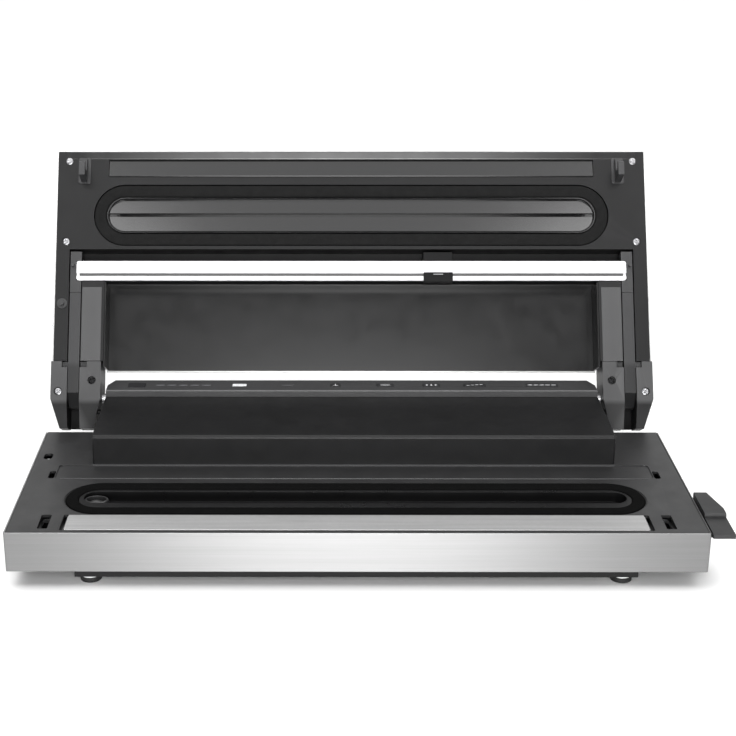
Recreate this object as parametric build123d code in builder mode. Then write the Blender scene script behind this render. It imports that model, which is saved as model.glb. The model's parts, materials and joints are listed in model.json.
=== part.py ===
from build123d import *
import os

os.makedirs("parts", exist_ok=True)

# ---------------------------------------------------------------- driving dimensions, mm
# Every "y" below is a distance back from the front edge of the base, and every height is
# counted from the deck, the top face of the base plate.  Lid pieces use the same two numbers,
# as they stand when the lid is closed, so a lid feature at y meets the deck feature at y.
width = 495.0
depth = 232.0
deck_height = 46.0
deck_depth = 176.8
front_y = -depth / 2

hinge_y = 206.05
hinge_rise = 17.56
lid_open_angle = 119.1
lid_gap = 1.5
lid_top = 29.5
lid_length = 183.0
lid_half = 244.5
fit = 0.04
wall = 2.2

# steel band and tub
band_height = 30.5
band_wall = 1.2
tub_half = width / 2 - band_wall - 0.3
tub_front = 1.5
tub_bottom = -30.2
plinth_half = 200.6
plinth_front = 8.0
plinth_bottom = -38.9
deck_thickness = 2.2

# machine cover and control panel
cover_front = 113.8
cover_half = 200.6
cover_rise = 24.2
panel_front = 193.0
panel_back = 216.0
panel_half = 199.0
panel_top = 30.0

# vacuum trough and gaskets, one stadium outline shared by the base and the lid
ring_y = 55.2
ring_half = 213.0
ring_half_depth = 26.0
foam_width = 10.8
foam_proud = 1.0

# seal bar
seal_half = 206.0
seal_front = 5.4
seal_back = 27.8

# latches, lever and their shaft
latch_x = 221.3
lever_y = 50.0
lever_drop = -14.0
crank_radius = 10.5
shaft_radius = 3.0

# cutter
arm_x = 226.85
arm_width = 9.1
rail_front = 93.9
rail_back = 110.1
rail_half = 226.3
rail_bottom = 2.0
rail_top = 6.0
slider_x = 71.5
slider_width = 24.0

# ---------------------------------------------------------------- planes
deck = Plane((0, front_y, deck_height))
hinge_place = Location((0, front_y + hinge_y, deck_height + hinge_rise))
open_turn = hinge_place * Location((0, 0, 0), (-lid_open_angle, 0, 0)) * hinge_place.inverse()
lid = Plane(open_turn * deck.location)
lid_up = Axis(lid.origin, lid.z_dir)


def base_side(x):
    """Upright plane across X: its first coordinate is y, its second is the height over the deck."""
    return Plane((x, front_y, deck_height), x_dir=(0, 1, 0), z_dir=(1, 0, 0))


def lid_side(x):
    """The same plane carried by the open lid."""
    return Plane(lid.from_local_coords((x, 0, 0)), x_dir=lid.y_dir, z_dir=(1, 0, 0))


def box_on(plane, x, y, low, high, mode=Mode.ADD, corner=0.0):
    """A block over the ranges x and y of a plane, from height low to height high."""
    with BuildSketch(plane.offset(low)) as outline:
        with Locations(((x[0] + x[1]) / 2, (y[0] + y[1]) / 2)):
            if corner:
                RectangleRounded(x[1] - x[0], y[1] - y[0], corner)
            else:
                Rectangle(x[1] - x[0], y[1] - y[0])
    extrude(outline.sketch, high - low, mode=mode)


def stadium_on(plane, half, half_depth, low, high, mode=Mode.ADD, y=ring_y):
    """A round-ended block centred on the trough's line."""
    with BuildSketch(plane.offset(low)) as outline:
        with Locations((0, y)):
            SlotOverall(2 * half, 2 * half_depth)
    extrude(outline.sketch, high - low, mode=mode)


def disc_on(plane, places, radius, low, high, mode=Mode.ADD):
    """Round pegs or holes at each place of a plane."""
    with BuildSketch(plane.offset(low)) as outline:
        with Locations(*places):
            Circle(radius)
    extrude(outline.sketch, high - low, mode=mode)


def rod_across(side, y, height, radius, length, mode=Mode.ADD):
    """A rod along X that starts on the given side plane."""
    with BuildSketch(side) as outline:
        with Locations((y, height)):
            Circle(radius)
    extrude(outline.sketch, length, mode=mode)


def save(part, name):
    part.label = name
    export_step(part, f"parts/{name}.step")


# ---------------------------------------------------------------- base shells
foot_places = [(x, y) for y in (19.8, 214.0) for x in (-190.7, 190.7)]
foot_radius = 7.75
gland_x = 150.0
gland_drop = -18.0
gland_radius = 8.0
peg_x = -237.5
peg_y = 129.5
support_xs = (-150, -50, 50, 150)
vent_xs = [8.0 * n + 96.0 for n in range(9)]

with BuildPart() as lower_housing:
    box_on(deck, (-tub_half, tub_half), (tub_front, deck_depth), tub_bottom, -deck_thickness)
    box_on(deck, (-plinth_half, plinth_half), (plinth_front, depth), plinth_bottom, -deck_thickness)
    box_on(deck, (-plinth_half, plinth_half), (deck_depth + 0.2, depth), plinth_bottom, 0)
    inner_tub = (-tub_half + wall, tub_half - wall)
    inner_plinth = (-plinth_half + wall, plinth_half - wall)
    box_on(deck, inner_tub, (tub_front + wall, deck_depth - wall), tub_bottom + wall, 0, Mode.SUBTRACT)
    box_on(deck, inner_plinth, (plinth_front + wall, depth - wall), plinth_bottom + wall, 0, Mode.SUBTRACT)
    # posts under the seal bar and rests under the latch plate
    for x in support_xs:
        box_on(deck, (x - 4, x + 4), (18, 26), plinth_bottom + wall / 2, -6.6)
    for x in (-latch_x, latch_x):
        box_on(deck, (x - 5, x + 5), (38, 43), tub_bottom + wall / 2, -10.6)
    # openings: latch shaft, cord gland and ventilation
    rod_across(base_side(tub_half - 2 * wall), lever_y, lever_drop, 6.0, 4 * wall, Mode.SUBTRACT)
    with BuildSketch(Plane((gland_x, front_y + depth, deck_height + gland_drop), z_dir=(0, -1, 0))):
        Circle(gland_radius)
    extrude(amount=2 * wall, mode=Mode.SUBTRACT)
    for x in vent_xs:
        vent = (x - 1.5, x + 1.5)
        box_on(deck, vent, (140, 175), plinth_bottom - 1, plinth_bottom + 2 * wall, Mode.SUBTRACT)
save(lower_housing.part, "lower_housing")

slot_half = 3.6
with BuildPart() as deck_plate:
    box_on(deck, (-tub_half, tub_half), (tub_front, deck_depth), -deck_thickness, 0)
    stadium_on(deck, ring_half + 0.2, ring_half_depth + 0.2, -5, 1, Mode.SUBTRACT)
    box_on(deck, (-209, 209), (4.4, 28.6), -5, 1, Mode.SUBTRACT, 1.5)
    box_on(deck, (-cover_half + 5, cover_half - 5), (cover_front + 4, deck_depth + 1), -5, 1, Mode.SUBTRACT)
    for x in (-latch_x, latch_x):
        box_on(deck, (x - slot_half, x + slot_half), (7, 28.6), -5, 1, Mode.SUBTRACT, 1)
    for x in (-229, 229):
        box_on(deck, (x - 2.4, x + 2.4), (89.5, 102.5), -5, 1, Mode.SUBTRACT, 2)
    box_on(deck, (peg_x - 3.4, peg_x + 3.4), (peg_y - 5.4, peg_y + 5.4), -5, 1, Mode.SUBTRACT, 3)
    box_on(deck, (-226, 226), (89.8, cover_front), -0.8, 1, Mode.SUBTRACT, 3)
save(deck_plate.part, "deck_plate")

with BuildPart() as steel_band:
    box_on(deck, (-width / 2, width / 2), (0, deck_depth), -band_height, 0)
    fillet(steel_band.edges().filter_by(Axis.Z).group_by(Axis.Y)[0], 1.1)
    clear = width / 2 - band_wall
    box_on(deck, (-clear, clear), (band_wall, deck_depth + 1), -band_height - 1, 1, Mode.SUBTRACT)
    rod_across(base_side(clear - 1), lever_y, lever_drop, 6.0, 4, Mode.SUBTRACT)
save(steel_band.part, "steel_band")

# ---------------------------------------------------------------- machine cover and control panel
key_names = ("power", "seal", "vacuum", "pulse", "mode")
key_xs = (-12.9, 27.8, 65.5, 101.0, 156.0)
key_lengths = (8.0, 14.0, 14.0, 18.0, 26.0)
key_y = 204.5
key_depth = 6.5
key_travel = 0.7
stem_radius = 1.6

# The open lid leans back on two pegs, one on each hinge block and one on each side of the cover.
stop_radius = 2.0
stop_length = 3.2
stop_root = 6.0
stop_peg = (218.0, 12.0)
stop_lug = (193.0, 13.11)

with BuildPart() as machine_cover:
    with BuildSketch(base_side(-cover_half)) as cover_profile:
        with BuildLine():
            Polyline((cover_front, 0), (cover_front, cover_rise), (depth, cover_rise), (depth, 0), close=True)
        make_face()
        fillet(cover_profile.vertices().group_by(Axis.Y)[-1].sort_by(Axis.X)[0], 2.5)
        fillet(cover_profile.vertices().group_by(Axis.Y)[-1].sort_by(Axis.X)[-1], 12)
    extrude(amount=2 * cover_half)
    fillet(machine_cover.faces().filter_by(Axis.X).edges().group_by(Axis.Z)[-1], 1.5)
    inside = (-cover_half + wall, cover_half - wall)
    box_on(deck, inside, (cover_front + wall, 220), -1, cover_rise - wall, Mode.SUBTRACT)
    box_on(deck, inside, (219, depth - wall), -1, 12, Mode.SUBTRACT)
    disc_on(deck, [(x, key_y) for x in key_xs], stem_radius + 0.4, 15, 30, Mode.SUBTRACT)
    rod_across(base_side(-cover_half - 1), hinge_y, hinge_rise, 4.3, 2 * cover_half + 2, Mode.SUBTRACT)
    for start in (-cover_half - stop_length, cover_half):
        rod_across(base_side(start), *stop_lug, stop_radius, stop_length)
save(machine_cover.part, "machine_cover")

display_x = -175.7
lens_x = -91.6
with BuildPart() as control_panel:
    with BuildSketch(deck.offset(cover_rise)):
        with BuildLine():
            Polyline(
                (-panel_half - 1, panel_front),
                (panel_half + 1, panel_front),
                (panel_half + 1, 205),
                (panel_half - 4, panel_back),
                (-panel_half + 4, panel_back),
                (-panel_half - 1, 205),
                close=True,
            )
        make_face()
    extrude(amount=panel_top - cover_rise)
    top_rim = control_panel.faces().sort_by(Axis.Z)[-1].edges()
    chamfer(top_rim, 0.6)
    hollow = (-panel_half + 5, panel_half - 5)
    box_on(deck, hollow, (panel_front + 2, panel_back - 2), cover_rise - 1, panel_top - 2, Mode.SUBTRACT)
    for x, length in zip(key_xs, key_lengths):
        hole_x = (x - length / 2 - 0.15, x + length / 2 + 0.15)
        hole_y = (key_y - key_depth / 2 - 0.15, key_y + key_depth / 2 + 0.15)
        box_on(deck, hole_x, hole_y, 27, 31, Mode.SUBTRACT, 1.65)
    box_on(deck, (display_x - 7.2, display_x + 7.2), (199.8, 209.2), panel_top - 0.8, 31, Mode.SUBTRACT)
    box_on(deck, (lens_x - 5.9, lens_x + 5.9), (201.9, 207.1), 27, 31, Mode.SUBTRACT)
save(control_panel.part, "control_panel")

with BuildPart() as display_window:
    box_on(deck, (display_x - 7, display_x + 7), (200, 209), panel_top - 0.8, panel_top + 0.1, corner=0.8)
save(display_window.part, "display_window")

with BuildPart() as indicator_lens:
    box_on(deck, (lens_x - 5.7, lens_x + 5.7), (202.1, 206.9), 26.5, panel_top + 0.1, corner=0.8)
save(indicator_lens.part, "indicator_lens")

board_top = 20.6
switch_top = 22.6
with BuildPart() as circuit_board:
    box_on(deck, (-184, 176), (190, 216), board_top - 1.6, board_top)
save(circuit_board.part, "circuit_board")

with BuildPart() as key_switches:
    for x in key_xs:
        box_on(deck, (x - 3, x + 3), (key_y - 3, key_y + 3), board_top, switch_top - 0.8)
        disc_on(deck, [(x, key_y)], 1.5, switch_top - 0.8, switch_top)
save(key_switches.part, "key_switches")

for key_name, x, length in zip(key_names, key_xs, key_lengths):
    with BuildPart() as key:
        cap = (x - length / 2, x + length / 2)
        flange = (cap[0] - 0.9, cap[1] + 0.9)
        box_on(deck, cap, (key_y - key_depth / 2, key_y + key_depth / 2), 26.4, panel_top + 0.3, corner=1.5)
        box_on(deck, flange, (key_y - key_depth / 2 - 0.9, key_y + key_depth / 2 + 0.9), 26.4, 27.9)
        disc_on(deck, [(x, key_y)], stem_radius, switch_top + key_travel + 0.1, 26.4)
    save(key.part, f"key_{key_name}")

# ---------------------------------------------------------------- vacuum trough
trough_half = 199.0
trough_half_depth = 9.2
trough_floor = -8.2
deep_half = trough_half + 1.6
port_x = -190.0
port_y = 57.7
nipple_radius = 3.0
nipple_bore = 1.6
hose_radius = 3.6

with BuildPart() as drip_tray:
    stadium_on(deck, ring_half, ring_half_depth, -5.7, -0.3)
    stadium_on(deck, deep_half, trough_half_depth + 1.6, -9.2, -5.7, y=port_y)
    stadium_on(deck, ring_half - 0.8, ring_half_depth - 0.8, -4.5, 0, Mode.SUBTRACT)
    stadium_on(deck, ring_half - foam_width, ring_half_depth - foam_width, -4.5, -0.3)
    stadium_on(deck, trough_half, trough_half_depth, trough_floor, 0, Mode.SUBTRACT, y=port_y)
    disc_on(deck, [(port_x, port_y)], nipple_radius + 0.1, -10, 0, Mode.SUBTRACT)
save(drip_tray.part, "drip_tray")

with BuildPart() as lower_gasket:
    stadium_on(deck, ring_half - 1.0, ring_half_depth - 1.0, -4.4, foam_proud)
    stadium_on(deck, ring_half - foam_width + 0.2, ring_half_depth - foam_width + 0.2, -5, 2, Mode.SUBTRACT)
save(lower_gasket.part, "lower_gasket")

with BuildPart() as suction_port:
    with BuildSketch(deck.offset(trough_floor)):
        with Locations((port_x, port_y)):
            Ellipse(9.0, 6.6)
    extrude(amount=6.4)
    rim = suction_port.faces().sort_by(Axis.Z)[-1].edges()
    chamfer(rim, 0.8)
    with BuildSketch(deck.offset(trough_floor + 1.5)):
        with Locations((port_x, port_y)):
            Ellipse(7.4, 5.0)
    extrude(amount=6, mode=Mode.SUBTRACT)
    disc_on(deck, [(port_x, port_y)], nipple_radius, -17, trough_floor + 1.5)
    disc_on(deck, [(port_x, port_y)], nipple_bore, -18, 0, Mode.SUBTRACT)
save(suction_port.part, "suction_port")

# ---------------------------------------------------------------- seal bar
wire_ys = (11.5, 21.5)
bar_top = -0.4
with BuildPart() as seal_bar:
    box_on(deck, (-seal_half, seal_half), (seal_front, seal_back), -6.5, bar_top, corner=1.5)
    box_on(deck, (-seal_half - 1, seal_half + 1), (seal_front + 6, seal_back - 6), -7, -3.5, Mode.SUBTRACT)
save(seal_bar.part, "seal_bar")

with BuildPart() as heating_wires:
    for y in wire_ys:
        box_on(deck, (-seal_half + 4, seal_half - 4), (y - 1.4, y + 1.4), bar_top, bar_top + 0.2)
save(heating_wires.part, "heating_wires")

with BuildPart() as release_tape:
    box_on(deck, (-seal_half + 0.5, seal_half - 0.5), (seal_front - 0.3, seal_back + 0.3), -5, 0.2)
    inner_tape = (seal_front, seal_back)
    box_on(deck, (-seal_half - 1, seal_half + 1), inner_tape, -6, bar_top + 0.2, Mode.SUBTRACT)
save(release_tape.part, "release_tape")

# ---------------------------------------------------------------- latch shaft, lever and slide
crank_x = 202.0
crank_width = 3.0
tab_start = crank_x + crank_width + 0.5
slide_bottom = -10.4
slide_top = -7.4
catch_edge = 10.9
pin_drop = lever_drop - crank_radius
lever_inner = width / 2 + 0.8
lever_outer = 263.8
shaft_end = lever_outer - 4
shaft_length = crank_x + crank_width + shaft_end

with BuildPart() as latch_shaft:
    rod_across(base_side(-crank_x - crank_width), lever_y, lever_drop, shaft_radius, shaft_length)
    for side in (-1, 1):
        start = side * crank_x if side > 0 else side * (crank_x + crank_width)
        with BuildSketch(base_side(start)):
            with Locations((lever_y, lever_drop)):
                Circle(5)
            with Locations((lever_y, pin_drop)):
                Circle(3.2)
            with Locations((lever_y, (lever_drop + pin_drop) / 2)):
                Rectangle(6.4, crank_radius)
        extrude(amount=crank_width)
        pin_start = start + crank_width if side > 0 else start - 4.5
        rod_across(base_side(pin_start), lever_y, pin_drop, 2.0, 4.5)
save(latch_shaft.part, "latch_shaft")

with BuildPart() as latch_plate:
    box_on(deck, (-228, 228), (4.2, catch_edge), slide_bottom, slide_top)
    for side in (-1, 1):
        edges = sorted((side * tab_start, side * 228))
        window = sorted((side * (latch_x - 4.6), side * (latch_x + 4.2)))
        tab = min(side * tab_start, side * (tab_start + 3))
        box_on(deck, edges, (4.2, 62), slide_bottom, slide_top)
        box_on(deck, window, (catch_edge, 36), slide_bottom - 1, slide_top + 1, Mode.SUBTRACT)
        with BuildSketch(base_side(tab)):
            with BuildLine():
                Polyline(
                    (57.5, slide_bottom + 1),
                    (62, slide_bottom + 1),
                    (62, -27),
                    (44, -27),
                    (44, -20.4),
                    (57.5, -20.4),
                    close=True,
                )
            make_face()
            with Locations((lever_y, -20)):
                Rectangle(4.3, 13, mode=Mode.SUBTRACT)
        extrude(amount=3)
save(latch_plate.part, "latch_plate")

bush_xs = (-184.0, 180.5)
with BuildPart() as shaft_bushes:
    for x in bush_xs:
        box_on(deck, (x, x + 3.5), (44, 56), plinth_bottom + wall, -9.6)
    rod_across(base_side(tub_half - wall - 3), lever_y, lever_drop, 5.9, wall + 4.2)
    bore = shaft_radius + fit
    rod_across(base_side(-crank_x), lever_y, lever_drop, bore, shaft_length, Mode.SUBTRACT)
save(shaft_bushes.part, "shaft_bushes")

with BuildPart() as lever_spring:
    coil_start = Location((150, front_y + lever_y, deck_height + lever_drop), (0, 90, 0))
    coil_path = Helix(pitch=1.2, height=9.6, radius=4.1).moved(coil_start)
    with BuildSketch(Plane(origin=coil_path @ 0, z_dir=coil_path % 0)):
        Circle(0.4)
    sweep(path=coil_path, is_frenet=True)
save(lever_spring.part, "lever_spring")

with BuildPart() as lever:
    with BuildSketch(base_side(lever_inner)) as lever_profile:
        with BuildLine():
            Polyline(
                (-2, 0),
                (25, 0),
                (25, 3),
                (60, 3),
                (60, -14),
                (43, -19),
                (24, -10),
                (-2, -3),
                close=True,
            )
        make_face()
        fillet(lever_profile.vertices().group_by(Axis.Y)[-1].sort_by(Axis.X)[0], 2.2)
        with Locations((lever_y, lever_drop)):
            Circle(10)
    extrude(amount=lever_outer - lever_inner)
    with BuildSketch(deck.offset(-30)):
        with BuildLine():
            Polyline((257.5, 61), (265, 61), (265, 34), (lever_outer, 34), close=True)
        make_face()
    extrude(amount=40, mode=Mode.SUBTRACT)
    socket = shaft_end - lever_inner + 1
    rod_across(base_side(lever_inner - 1), lever_y, lever_drop, shaft_radius, socket, Mode.SUBTRACT)
save(lever.part, "lever")

# ---------------------------------------------------------------- lid switch in the base
plunger_top = -3.0
with BuildPart() as microswitch:
    box_on(deck, (peg_x - 3.2, peg_x + 3.2), (peg_y - 10, peg_y + 10), tub_bottom + wall, -10)
    disc_on(deck, [(peg_x, peg_y)], 1.8 + fit, -15, -5, Mode.SUBTRACT)
save(microswitch.part, "microswitch")

with BuildPart() as switch_plunger:
    disc_on(deck, [(peg_x, peg_y)], 1.8, -13, plunger_top)
save(switch_plunger.part, "switch_plunger")

# ---------------------------------------------------------------- pump, transformer and hose
pump_y = 155.0
pump_height = -10.0
motor_start = -150.0
motor_length = 56.0
head_start = motor_start + motor_length
motor_radius = 17.5
inside_floor = plinth_bottom + wall

with BuildPart() as pump_motor:
    rod_across(base_side(motor_start), pump_y, pump_height, motor_radius, motor_length)
    rod_across(base_side(motor_start - 3), pump_y, pump_height, 7, 3)
    rod_across(base_side(motor_start - 5), pump_y, pump_height, 2.5 + fit, 30, Mode.SUBTRACT)
save(pump_motor.part, "pump_motor")

with BuildPart() as pump_shaft:
    rod_across(base_side(motor_start - 16), pump_y, pump_height, 2.5, 36)
    rod_across(base_side(motor_start - 12), pump_y, pump_height, 15, 5)
    with BuildSketch(base_side(motor_start - 13)):
        with Locations((pump_y, pump_height)):
            with PolarLocations(10, 6):
                Circle(2.5)
    extrude(amount=7, mode=Mode.SUBTRACT)
save(pump_shaft.part, "pump_shaft")

with BuildPart() as pump_head:
    box_on(deck, (head_start, head_start + 42), (pump_y - 20, pump_y + 20), -30, 12)
    for y in (pump_y - 10, pump_y + 10):
        disc_on(deck, [(head_start + 21, y)], 8.5, 12, 18)
    with BuildSketch(Plane((head_start + 21, front_y + pump_y - 20, deck_height - 12), z_dir=(0, -1, 0))):
        Circle(3)
    extrude(amount=8)
save(pump_head.part, "pump_head")

with BuildPart() as pump_cradle:
    box_on(deck, (motor_start + 6, head_start - 6), (pump_y - 19, pump_y + 19), inside_floor, -14)
    rod_across(base_side(motor_start - 1), pump_y, pump_height, motor_radius, motor_length + 2, Mode.SUBTRACT)
    box_on(deck, (head_start + 2, head_start + 40), (pump_y - 18, pump_y + 18), inside_floor, -30)
save(pump_cradle.part, "pump_cradle")

hose_points = [
    (port_x, port_y, -10.5),
    (port_x, port_y, -31),
    (-165, 75, -31),
    (-120, 100, -26),
    (head_start + 21, 108, -12),
    (head_start + 21, 132, -12),
]
hose_bends = [12, 60, 60, 20]
print("hose bend radii", hose_bends)
with BuildPart() as vacuum_hose:
    with BuildLine():
        places = [Vector(x, front_y + y, deck_height + z) for x, y, z in hose_points]
        hose_path = FilletPolyline(*places, radius=hose_bends)
    with BuildSketch(Plane(origin=hose_path @ 0, z_dir=hose_path % 0)):
        Circle(hose_radius)
        Circle(hose_radius - 0.55, mode=Mode.SUBTRACT)
    sweep(path=hose_path)
save(vacuum_hose.part, "vacuum_hose")

with BuildPart() as transformer_core:
    box_on(deck, (100, 160), (140, 165), inside_floor, 12)
    for x in (110, 137):
        box_on(deck, (x, x + 13), (139, 166), -26, 2, Mode.SUBTRACT)
save(transformer_core.part, "transformer_core")

with BuildPart() as transformer_coil:
    box_on(deck, (111, 149), (130, 175), -25, 1)
    box_on(deck, (122.6, 137.4), (139.6, 165.4), -27, 3, Mode.SUBTRACT)
save(transformer_coil.part, "transformer_coil")

# ---------------------------------------------------------------- hinge hardware
pin_radius = 4.0
bracket_x = 190.0
with BuildPart() as hinge_brackets:
    for side in (-1, 1):
        span = sorted((side * bracket_x, side * (bracket_x + 4)))
        foot_span = sorted((side * (bracket_x - 14), side * (bracket_x + 4)))
        box_on(deck, span, (197, 216), inside_floor, 21.6)
        box_on(deck, foot_span, (197, 212), inside_floor, inside_floor + 3)
    rod_across(base_side(-bracket_x - 5), hinge_y, hinge_rise, pin_radius, 2 * bracket_x + 10, Mode.SUBTRACT)
save(hinge_brackets.part, "hinge_brackets")

pin_end = 241.5
with BuildPart() as hinge_pins:
    for side in (-1, 1):
        start = bracket_x - 4 if side > 0 else -pin_end
        rod_across(base_side(start), hinge_y, hinge_rise, pin_radius, pin_end - bracket_x + 4)
save(hinge_pins.part, "hinge_pins")

# ---------------------------------------------------------------- feet, screws and gland
with BuildPart() as foot_collars:
    for place in foot_places:
        disc_on(deck, [place], foot_radius, -42, plinth_bottom)
        disc_on(deck, [place], 2, -44, -42)
save(foot_collars.part, "foot_collars")

with BuildPart() as foot_pads:
    for place in foot_places:
        disc_on(deck, [place], foot_radius, -deck_height, -42)
        disc_on(deck, [place], 2, -44, -41, Mode.SUBTRACT)
save(foot_pads.part, "foot_pads")

with BuildPart() as housing_screws:
    for place in [(-170, 30), (170, 30), (-170, 205), (170, 205), (0, 205)]:
        disc_on(deck, [place], 3, plinth_bottom - 0.8, plinth_bottom)
save(housing_screws.part, "housing_screws")

with BuildPart() as cord_gland:
    gland_back = Plane((gland_x, front_y + depth + 6, deck_height + gland_drop), z_dir=(0, -1, 0))
    with BuildSketch(gland_back):
        Circle(9.5)
    extrude(amount=6)
    with BuildSketch(gland_back):
        Circle(gland_radius)
    extrude(amount=12)
    with BuildSketch(gland_back):
        Circle(3.6)
    extrude(amount=12, mode=Mode.SUBTRACT)
    back_rim = cord_gland.faces().sort_by(Axis.Y)[-1].edges().sort_by(SortBy.RADIUS)[-1]
    fillet(back_rim, 2.0)
save(cord_gland.part, "cord_gland")

# ---------------------------------------------------------------- lid shells
lid_back = Axis(lid.origin, lid.y_dir)
lid_corner = 2.0
skin = 1.0
recess_front = 111.8
recess_side = 203.0
recess_wall = 1.4
recess_roof = 25.7
block_inner = 204.6
block_outer = 245.2
block_front = 177.4

with BuildPart() as lid_cover:
    box_on(lid, (-lid_half, lid_half), (0, lid_length), lid_gap, lid_top)
    fillet(lid_cover.edges().filter_by(lid_up).group_by(lid_back)[0], lid_corner)
    top_rim = lid_cover.faces().sort_by(lid_up)[-1].edges().sort_by(lid_back)
    fillet(top_rim[:-1], lid_corner - 0.1)
    open_faces = [lid_cover.faces().sort_by(lid_up)[0], lid_cover.faces().sort_by(lid_back)[-1]]
    offset(amount=-skin, openings=open_faces)
    for side in (-1, 1):
        corner_x = sorted((side * (block_inner - 1), side * (lid_half + 5)))
        box_on(lid, corner_x, (block_front - 0.2, 200), 0, lid_top + 1, Mode.SUBTRACT)
    box_on(lid, (-200, 200), (lid_length - skin, lid_length), 27.3, lid_top - skin)
save(lid_cover.part, "lid_cover")

plate = 2.0
panel_half_x = lid_half - skin - 0.2
panel_back_y = block_front - 0.3
strip_half = 201.3
strip_front = 8.1
strip_back = 22.7
arm_gap = arm_width / 2 + 0.8
arm_channel = (arm_x - arm_gap, arm_x + arm_gap)
# grooves of the inner panel: x range, y range, depth
grooves = (
    ((-strip_half, strip_half), (strip_front, strip_back), 4.0),
    ((-232.4, 232.4), (84.0, 110.8), 18.5),
    ((-arm_channel[1], -arm_channel[0]), (108.0, panel_back_y), 10.5),
    (arm_channel, (108.0, panel_back_y), 10.5),
)

front_screw_places = [(-234.1, 9.3), (234.1, 9.3)]
rear_screw_places = [(-235.5, 77.5), (235.5, 77.5)]
rear_screw_seat = 2.3

with BuildPart() as lid_inner_panel:
    box_on(lid, (-panel_half_x, panel_half_x), (skin + 0.2, panel_back_y), lid_gap, lid_gap + plate)
    stadium_on(lid, ring_half + 1.5, ring_half_depth + 1.5, lid_gap, 8)
    for x, y, cut in grooves:
        grown_x = (x[0] - plate, x[1] + plate)
        grown_y = (y[0] - plate, y[1] + plate)
        box_on(lid, grown_x, grown_y, lid_gap, lid_gap + cut + plate)
    stadium_on(lid, ring_half, ring_half_depth, 0, 6.5, Mode.SUBTRACT)
    stadium_on(lid, ring_half - 15, ring_half_depth - 15, 0, 9, Mode.SUBTRACT)
    for x, y, cut in grooves:
        box_on(lid, x, y, 0, lid_gap + cut, Mode.SUBTRACT)
    box_on(lid, (-recess_side, recess_side), (110.8, 200), 0, lid_top, Mode.SUBTRACT)
    box_on(lid, (-lid_half, lid_half), (panel_back_y, 200), 0, lid_top, Mode.SUBTRACT)
    disc_on(lid, rear_screw_places, 3.3, 0, rear_screw_seat, Mode.SUBTRACT)
    front_corners = lid_inner_panel.edges().filter_by(lid_up).group_by(lid_back)[0]
    fillet(front_corners, 1.0)
save(lid_inner_panel.part, "lid_inner_panel")

with BuildPart() as recess_liner:
    liner_y = (recess_front, lid_length - skin)
    box_on(lid, (-recess_side, recess_side), liner_y, 2.2, recess_roof + recess_wall)
    clear_side = recess_side - recess_wall
    clear_front = recess_front + 1.0
    box_on(lid, (-clear_side, clear_side), (clear_front, 200), 0, recess_roof, Mode.SUBTRACT)
    # the front wall stays clear of the cutter slider's clip
    box_on(lid, (-clear_side, clear_side), (recess_front - 1, clear_front), 0, 10, Mode.SUBTRACT)
save(recess_liner.part, "recess_liner")

insert_floor = 4.6
insert_groove_y = 54.6
with BuildPart() as chamber_insert:
    stadium_on(lid, ring_half - foam_width - 0.3, ring_half_depth - foam_width - 0.3, 1.7, 6.4)
    stadium_on(lid, ring_half - 15.5, ring_half_depth - 15.5, 6.4, 11.5)
    dish_inset = foam_width + 1.6
    stadium_on(lid, ring_half - dish_inset, ring_half_depth - dish_inset, 0, insert_floor, Mode.SUBTRACT)
    stadium_on(lid, 194, 1.3, 0, 10, Mode.SUBTRACT, y=insert_groove_y)
    mouth = chamber_insert.faces().sort_by(lid_up)[0].inner_wires()[0].edges()
    chamfer(mouth, 0.6)
save(chamber_insert.part, "chamber_insert")

with BuildPart() as upper_gasket:
    stadium_on(lid, ring_half - 0.4, ring_half_depth - 0.4, foam_proud + 0.3, 6.4)
    stadium_on(lid, ring_half - foam_width + 0.1, ring_half_depth - foam_width + 0.1, 0, 8, Mode.SUBTRACT)
save(upper_gasket.part, "upper_gasket")

with BuildPart() as pressing_strip:
    inset = 0.3
    span_x = (-strip_half + inset, strip_half - inset)
    box_on(lid, span_x, (strip_front + inset, strip_back - inset), 0.6, lid_gap + 4)
save(pressing_strip.part, "pressing_strip")

# ---------------------------------------------------------------- lid hooks, peg, grips and screws
with BuildPart() as latch_hooks:
    for x in (-latch_x, latch_x):
        box_on(lid, (x - 5, x + 5), (6.5, 28.5), 0.7, lid_gap, corner=1.5)
        with BuildSketch(lid_side(x - 2.4)):
            with BuildLine():
                Polyline(
                    (8.2, 0.8),
                    (8.6, -3),
                    (19.5, -5),
                    (19.5, -11.2),
                    (13.2, -12.4),
                    (14.2, -15),
                    (25, -15),
                    (26.2, -6),
                    (27.4, 0.8),
                    close=True,
                )
            make_face()
        extrude(amount=4.8)
save(latch_hooks.part, "latch_hooks")

with BuildPart() as switch_peg:
    disc_on(lid, [(peg_x, peg_y)], 4.2, 0.7, lid_gap)
    disc_on(lid, [(peg_x, peg_y)], 2.0, plunger_top + 0.4, 0.8)
save(switch_peg.part, "switch_peg")

with BuildPart() as lid_grips:
    for side in (-1, 1):
        grip_x = sorted((side * lid_half, side * (lid_half + 3)))
        box_on(lid, grip_x, (122, 147), 5, 17)
        outer = lid_grips.faces().filter_by(Axis.X).sort_by(Axis.X)
        fillet(outer[0 if side < 0 else -1].edges(), 1.4)
save(lid_grips.part, "lid_grips")

with BuildPart() as lid_screws:
    for places, seat in ((front_screw_places, lid_gap), (rear_screw_places, rear_screw_seat)):
        disc_on(lid, places, 2.9, seat - 0.7, seat)
        disc_on(lid, places, 1.0, seat - 1, seat - 0.4, Mode.SUBTRACT)
save(lid_screws.part, "lid_screws")

# ---------------------------------------------------------------- hinge blocks
block_back = 231.8
slot_edge = arm_width / 2 + 0.5
hinge_screw_places = [(239.2, 202.0), (211.8, 193.0)]
screw_seats = (3.4, 7.0)

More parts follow.
